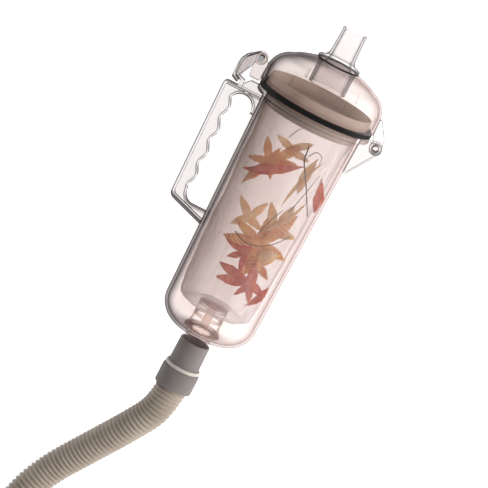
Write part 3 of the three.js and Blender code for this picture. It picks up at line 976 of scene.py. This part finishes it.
def mesh_bag():
    """The bag: drawn in from its ring in long soft folds, with its floor over the cage."""
    around, up = 220, 150
    points, coordinates = [], []
    for j in range(up + 1):
        share = j / up
        radius, z = bag_side(share)
        free = max(0.0, min(1.0, (364 - z) / 60)) * max(0.0, min(1.0, (radius - 30) / 30))
        for i in range(around):
            angle = 2 * math.pi * i / around
            drift = 0.5 * noise.noise(Vector((math.cos(angle) * 1.3, math.sin(angle) * 1.3, z / 90)))
            folds = 0.5 + 0.5 * math.cos(9 * (angle + drift) + 0.6 * math.sin(z / 70))
            creases = noise.noise(Vector((math.cos(angle) * 3.1, math.sin(angle) * 3.1, z / 38 + 7)))
            inward = free * (1.2 + 4.2 * folds ** 2 + 1.9 * creases)
            r = radius - max(0.0, inward)
            points.append((r * math.cos(angle), r * math.sin(angle), z + free * 1.2 * creases))
            coordinates.append((i / around, share))
    faces = []
    for j in range(up):
        for i in range(around):
            k = (i + 1) % around
            faces.append((j * around + i, j * around + k, (j + 1) * around + k, (j + 1) * around + i))
    faces.append(tuple(reversed(range(around))))
    piece = from_points("leaf_bag", points, faces, sharp=60)
    thread = piece.data.uv_layers.new(name="thread")
    across_threads, up_threads = 520, 500
    for face in piece.data.polygons:
        seam = any(coordinates[v][0] < 0.01 for v in face.vertices) and any(
            coordinates[v][0] > 0.99 for v in face.vertices)
        for corner in face.loop_indices:
            u, v = coordinates[piece.data.loops[corner].vertex_index]
            u = 1.0 if seam and u < 0.01 else u
            thread.data[corner].uv = (u * across_threads / 10, v * up_threads / 10)
    return placed(piece, "canister", "bag_mesh", CLOTH, "mesh_bag")


def lance(base, tip, width, bow):
    """Outline of a slender leaf that bows to one side, as points across and along the canister."""
    base, tip = Vector(base), Vector(tip)
    along = tip - base
    side = Vector((-along.y, along.x)).normalized()
    points = []
    for i in range(41):
        t = i / 20 if i <= 20 else (40 - i) / 20
        swell = math.sin(math.pi * t ** 0.85) ** 1.15 * (1 if i <= 20 else -1)
        points.append(base + along * t + side * (bow * math.sin(math.pi * t) + swell * width / 2))
    return points[:-1]


def maple(centre, tips, waist):
    """Outline of a lobed leaf from its lobes' tips, taken in turn around the centre."""
    centre = Vector(centre)
    arms = sorted((Vector(tip) - centre for tip in tips), key=lambda arm: math.atan2(arm.y, arm.x))
    points = []
    for i, arm in enumerate(arms):
        before, after = arms[i - 1], arms[(i + 1) % len(arms)]
        for other, rising in ((before, True), (after, False)):
            between = arm.normalized() + other.normalized()
            if between.length < 0.3:
                between = Vector((-arm.y, arm.x)).normalized() * (-1 if rising else 1)
            notch = between.normalized() * waist
            side = Vector((arm.y, -arm.x)).normalized() * (1 if rising else -1)
            swell = arm * 0.55 + side * arm.length * 0.25
            curve = []
            for step in range(8):
                t = step / 8
                curve.append(notch * (1 - t) ** 2 + swell * 2 * t * (1 - t) + arm * t ** 2)
            points += [centre + p for p in (curve if rising else [arm, *reversed(curve[1:])])]
    return points


def leaf(name, outline, depth, curl, material, slot, seed):
    """A curled dry leaf at a depth in Y, filled in rings from its outline to its middle."""
    centre = sum(outline, Vector((0, 0))) / len(outline)
    torn = [noise.noise(Vector((p.x / 3.5, p.y / 3.5, seed * 5.3))) for p in outline]
    outline = [p + (p - centre).normalized() * 2.2 * wear for p, wear in zip(outline, torn)]
    reach = max((p - centre).length for p in outline)
    rings, count = 9, len(outline)
    points = [(centre.x, depth, centre.y)]
    coordinates = [(0, 0)]
    for ring in range(1, rings + 1):
        for i, rim in enumerate(outline):
            flat = centre + (rim - centre) * ring / rings
            share = (flat - centre).length / reach
            ripple = noise.noise(Vector((flat.x / 17, flat.y / 17, seed * 3.7)))
            points.append((flat.x, depth + curl * share ** 2 + 6 * share * ripple, flat.y))
            coordinates.append((share * 4, i / count * 9))
    faces = [(0, 1 + (i + 1) % count, 1 + i) for i in range(count)]
    for ring in range(rings - 1):
        here, there = 1 + ring * count, 1 + (ring + 1) * count
        for i in range(count):
            k = (i + 1) % count
            faces.append((here + i, here + k, there + k, there + i))
    piece = from_points(name, points, faces, sharp=80)
    veins = piece.data.uv_layers.new(name="veins")
    for corner in piece.data.loops:
        veins.data[corner.index].uv = coordinates[corner.vertex_index]
    blade = piece.modifiers.new("blade", "SOLIDIFY")
    blade.thickness = 0.45 * MM
    return placed(piece, "canister", slot, material)


def tube(name, spine, radius_at, place, sides, slot, body, material):
    """A closed round tube along a list of points, with a radius for each point."""
    points = []
    side = None
    for i, here in enumerate(spine):
        ahead = spine[min(i + 1, len(spine) - 1)] - spine[max(i - 1, 0)]
        ahead.normalize()
        side = ahead.orthogonal() if side is None else side - ahead * side.dot(ahead)
        side.normalize()
        other = ahead.cross(side)
        for j in range(sides):
            angle = 2 * math.pi * j / sides
            radius = radius_at(i, angle)
            points.append(here + side * (radius * math.cos(angle)) + other * (radius * math.sin(angle)))
    faces = []
    for i in range(len(spine) - 1):
        here, there = i * sides, (i + 1) * sides
        for j in range(sides):
            k = (j + 1) % sides
            faces.append((here + j, here + k, there + k, there + j))
    faces.append(tuple(reversed(range(sides))))
    faces.append(tuple(range((len(spine) - 1) * sides, len(spine) * sides)))
    return placed(from_points(name, points, faces, place, 50), body, slot, material)


def smooth_line(stops, steps):
    """Points of a centripetal Catmull-Rom curve through the stops, with that many steps between each two."""
    stops = [Vector(p) for p in stops]
    padded = [stops[0] * 2 - stops[1], *stops, stops[-1] * 2 - stops[-2]]
    line = []
    for a, b, c, d in zip(padded, padded[1:], padded[2:], padded[3:]):
        t0, t1 = 0.0, (b - a).length ** 0.5
        t2 = t1 + (c - b).length ** 0.5
        t3 = t2 + (d - c).length ** 0.5
        for i in range(steps):
            t = t1 + (t2 - t1) * i / steps
            ab = a * ((t1 - t) / (t1 - t0)) + b * ((t - t0) / (t1 - t0))
            bc = b * ((t2 - t) / (t2 - t1)) + c * ((t - t1) / (t2 - t1))
            cd = c * ((t3 - t) / (t3 - t2)) + d * ((t - t2) / (t3 - t2))
            abc = ab * ((t2 - t) / (t2 - t0)) + bc * ((t - t0) / (t2 - t0))
            bcd = bc * ((t3 - t) / (t3 - t1)) + cd * ((t - t1) / (t3 - t1))
            line.append(abc * ((t2 - t) / (t2 - t1)) + bcd * ((t - t1) / (t2 - t1)))
    return [*line, stops[-1]]


# Lobed leaves: centre and lobe tips (each across and along the canister), waist, depth, curl and kind
LOBED = [
    ((-26, 292), [(-46, 326), (-20, 318), (10, 336), (16, 306), (-12, 268), (-48, 246), (-58, 284)],
     9, -42, 8, "orange"),
    ((-4, 322), [(-34, 334), (22, 346), (28, 318), (-10, 306)], 7, -36, -9, "tan"),
    ((18, 176), [(-38, 160), (-30, 190), (11, 216), (49, 236), (64, 168), (19, 122)], 11, -40, 9, "orange"),
    ((28, 200), [(4, 240), (38, 250), (62, 206), (6, 180)], 8, -33, -8, "tan"),
    ((33, 113), [(-20, 100), (-24, 122), (24, 150), (63, 104), (44, 84), (18, 88)], 9, -44, 7, "red"),
    ((6, 150), [(-34, 158), (-2, 182), (36, 150), (10, 118), (-18, 132)], 10, -30, 8, "red"),
    ((-14, 190), [(-42, 214), (2, 222), (12, 178), (-36, 166)], 9, 24, 8, "tan"),
    ((30, 130), [(-4, 150), (52, 160), (56, 116), (12, 104)], 10, 26, -8, "orange"),
]

# Slender leaves: stalk end and tip (each across and along the canister), width, bow, depth, curl and kind
SLENDER = [
    ((-58, 266), (26, 312), 15, -4, -50, 5, "red"),
    ((33, 266), (37, 330), 15, 3, -34, -6, "tan"),
    ((68, 250), (54, 304), 15, -3, -30, 4, "red"),
    ((20, 238), (48, 330), 6, 5, -38, 3, "tan"),
    ((8, 188), (52, 262), 7, -6, -42, 3, "tan"),
    ((24, 152), (52, 172), 24, 2, -47, 6, "tan"),
    ((-48, 240), (-14, 300), 9, 6, -38, 5, "orange"),
    ((60, 120), (40, 76), 12, 3, -36, 5, "red"),
]

# Route (across, depth and along the canister) and thickness of each twig
TWIGS = [
    ([(16, -50, 342), (20, -50, 318), (33, -49, 296), (48, -46, 270), (62, -42, 244)], 2.4),
    ([(22, -47, 326), (30, -46, 337), (40, -43, 334), (42, -42, 322)], 1.5),
    ([(34, -47, 238), (42, -47, 270), (50, -45, 308)], 1.5),
    ([(-24, -52, 178), (-6, -54, 170), (16, -54, 173), (36, -50, 186), (53, -44, 206)], 1.8),
    ([(-16, -56, 340), (-10, -56, 355), (-1, -55, 364)], 1.4),
    ([(8, -52, 190), (14, -53, 212), (26, -52, 240)], 1.4),
]


def caught_debris():
    kinds = {"orange": (ORANGE, "leaf_orange"), "red": (RED, "leaf_red"), "tan": (TAN, "leaf_orange")}
    leaves = [(maple(centre, tips, waist), *rest) for centre, tips, waist, *rest in LOBED]
    leaves += [(lance(base, tip, width, bow), *rest) for base, tip, width, bow, *rest in SLENDER]
    for number, (outline, depth, curl, kind) in enumerate(leaves, 1):
        leaf(f"caught_leaf_{number}", outline, depth, curl, *kinds[kind], number)
    for number, (route, thickness) in enumerate(TWIGS, 1):
        spine = smooth_line(route, 8)
        count = len(spine)

        def radius_at(i, angle):
            knots = 1 + 0.25 * noise.noise(Vector((i * 0.8, math.cos(angle), math.sin(angle) + number)))
            return thickness / 2 * knots * (1 - 0.45 * i / count)

        tube(f"twig_{number}", spine, radius_at, canister, 8, "twig_bark", "canister", BARK)


# ---------------------------------------------------------------- hose and cuffs

def cuff(name, ring_name, place, replaced, ring_replaced):
    sleeve = turned(name, [
        (20.4, -15.3),
        (24, -15.3),
        (24.8, -55.5),
        (25.2, -56),
        (25.2, -62),
        (28.5, -62.6),
        (30, -65.5),
        (30, -95),
        (25.9, -95),
        (25.9, -67),
        (20.4, -65),
    ], 96, 1.0, place)
    placed(sleeve, "canister", "cuff_plastic", CUFF, replaced)
    ring = turned(ring_name, [
        (25.4, -62),
        (27.6, -62),
        (28.5, -60.3),
        (28.5, -57.8),
        (27.6, -56.1),
        (25.4, -56.1),
    ], 96, 0.8, place)
    placed(ring, "canister", "pale_plastic", PALE, ring_replaced)
    return sleeve, ring


def hose_and_cuffs():
    near = cuff("outlet_cuff", "outlet_cuff_ring", canister, "hose_cuff", "cuff_ring")
    end, before = Vector(HOSE_ROUTE[-1]), Vector(HOSE_ROUTE[-2])
    heading = (end - before).normalized()
    turn = Vector((0, 0, 1)).rotation_difference(heading).to_matrix().to_4x4()
    far_place = Matrix.Scale(MM, 4) @ Matrix.Translation(end + heading * FAR_CUFF_REACH) @ turn
    far = cuff("end_cuff", "end_cuff_band", far_place, "hose_end_cuff", "end_cuff_ring")
    line = [p * MM for p in smooth_line(HOSE_ROUTE, 60)]
    # The same line again in even steps, so that the ribs keep their pitch
    even = [line[0]]
    step = HOSE_PITCH / STEPS_PER_RIB
    travelled = 0.0
    for a, b in zip(line, line[1:]):
        span = (b - a).length
        while travelled + span >= step:
            share = (step - travelled) / span
            a = a.lerp(b, share)
            span = (b - a).length
            travelled = 0.0
            even.append(a.copy())
        travelled += span
    radius = HOSE_DIAMETER / 2

    def rib(i, angle):
        turn_share = i / STEPS_PER_RIB - angle / (2 * math.pi)
        crest = 0.5 + 0.5 * math.cos(2 * math.pi * turn_share)
        return radius - RIB_DEPTH * (1 - crest) ** 1.3

    piece = tube("ribbed_hose", even, rib, Matrix.Identity(4), 48, "hose_plastic", "canister", HOSE)
    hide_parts("hose")


camera()
hose_and_cuffs()
studio()
canister_body()
hinge_ears()
handle()
dome_lid()
lid_lugs()
inlet_spigot()
latch_lever()
pins()
seals()
bag_ring()
outlet_cage()
mesh_bag()
caught_debris()
